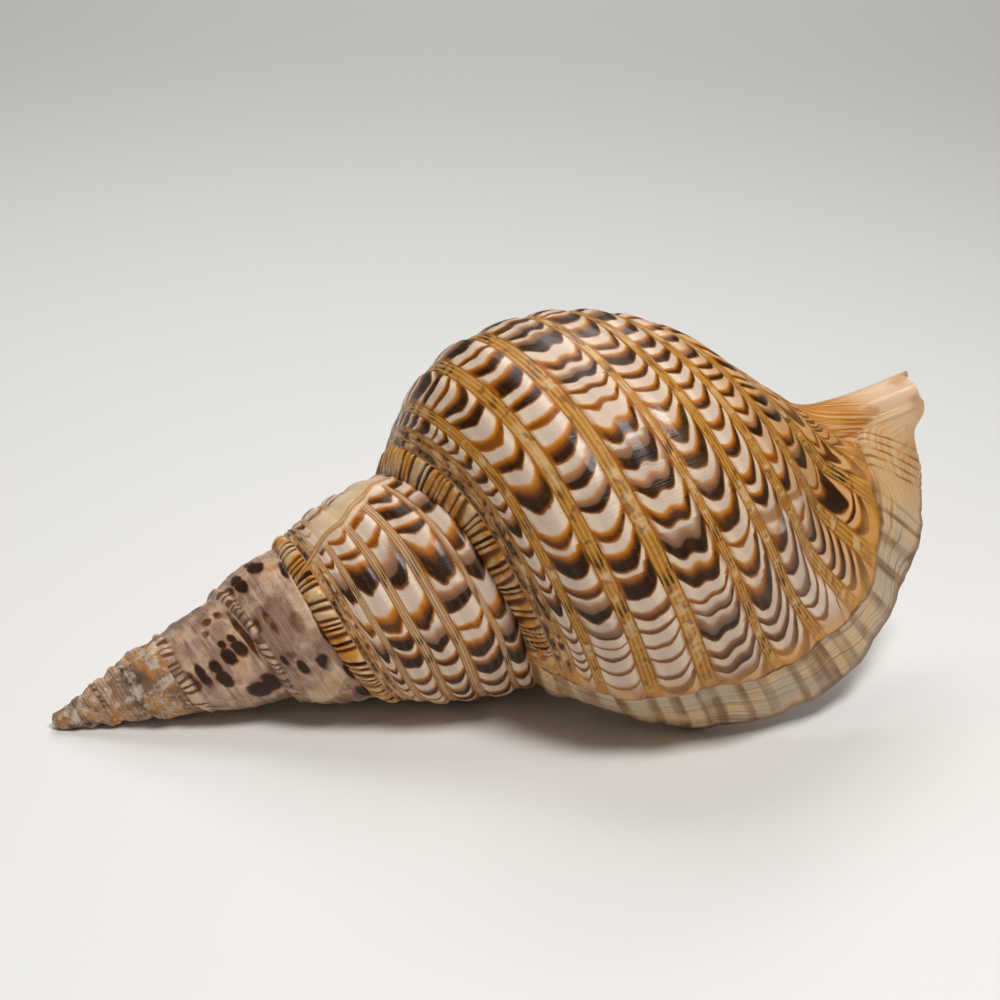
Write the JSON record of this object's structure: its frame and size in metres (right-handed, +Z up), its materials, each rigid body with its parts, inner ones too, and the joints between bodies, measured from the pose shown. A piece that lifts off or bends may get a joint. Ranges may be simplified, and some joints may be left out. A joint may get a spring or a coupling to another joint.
{
  "type": "triton shell",
  "caption": "Large spiral sea snail shell with a tall pointed spire, swollen body whorl, flared outer lip and short canal, lying on its aperture side.",
  "frame": {"origin": "middle of the footprint, on the surface that the shell lies on", "axes": "+X from the apex towards the canal, +Z up"},
  "size_m": [0.3174, 0.1478, 0.1375],
  "materials": {
    "shell": "glossy shell with rows of brown crescents on cream, amber lines between the rows and a pale lip"
  },
  "bodies": {
    "root": {"shell": "shell"}
  },
  "joints": []
}
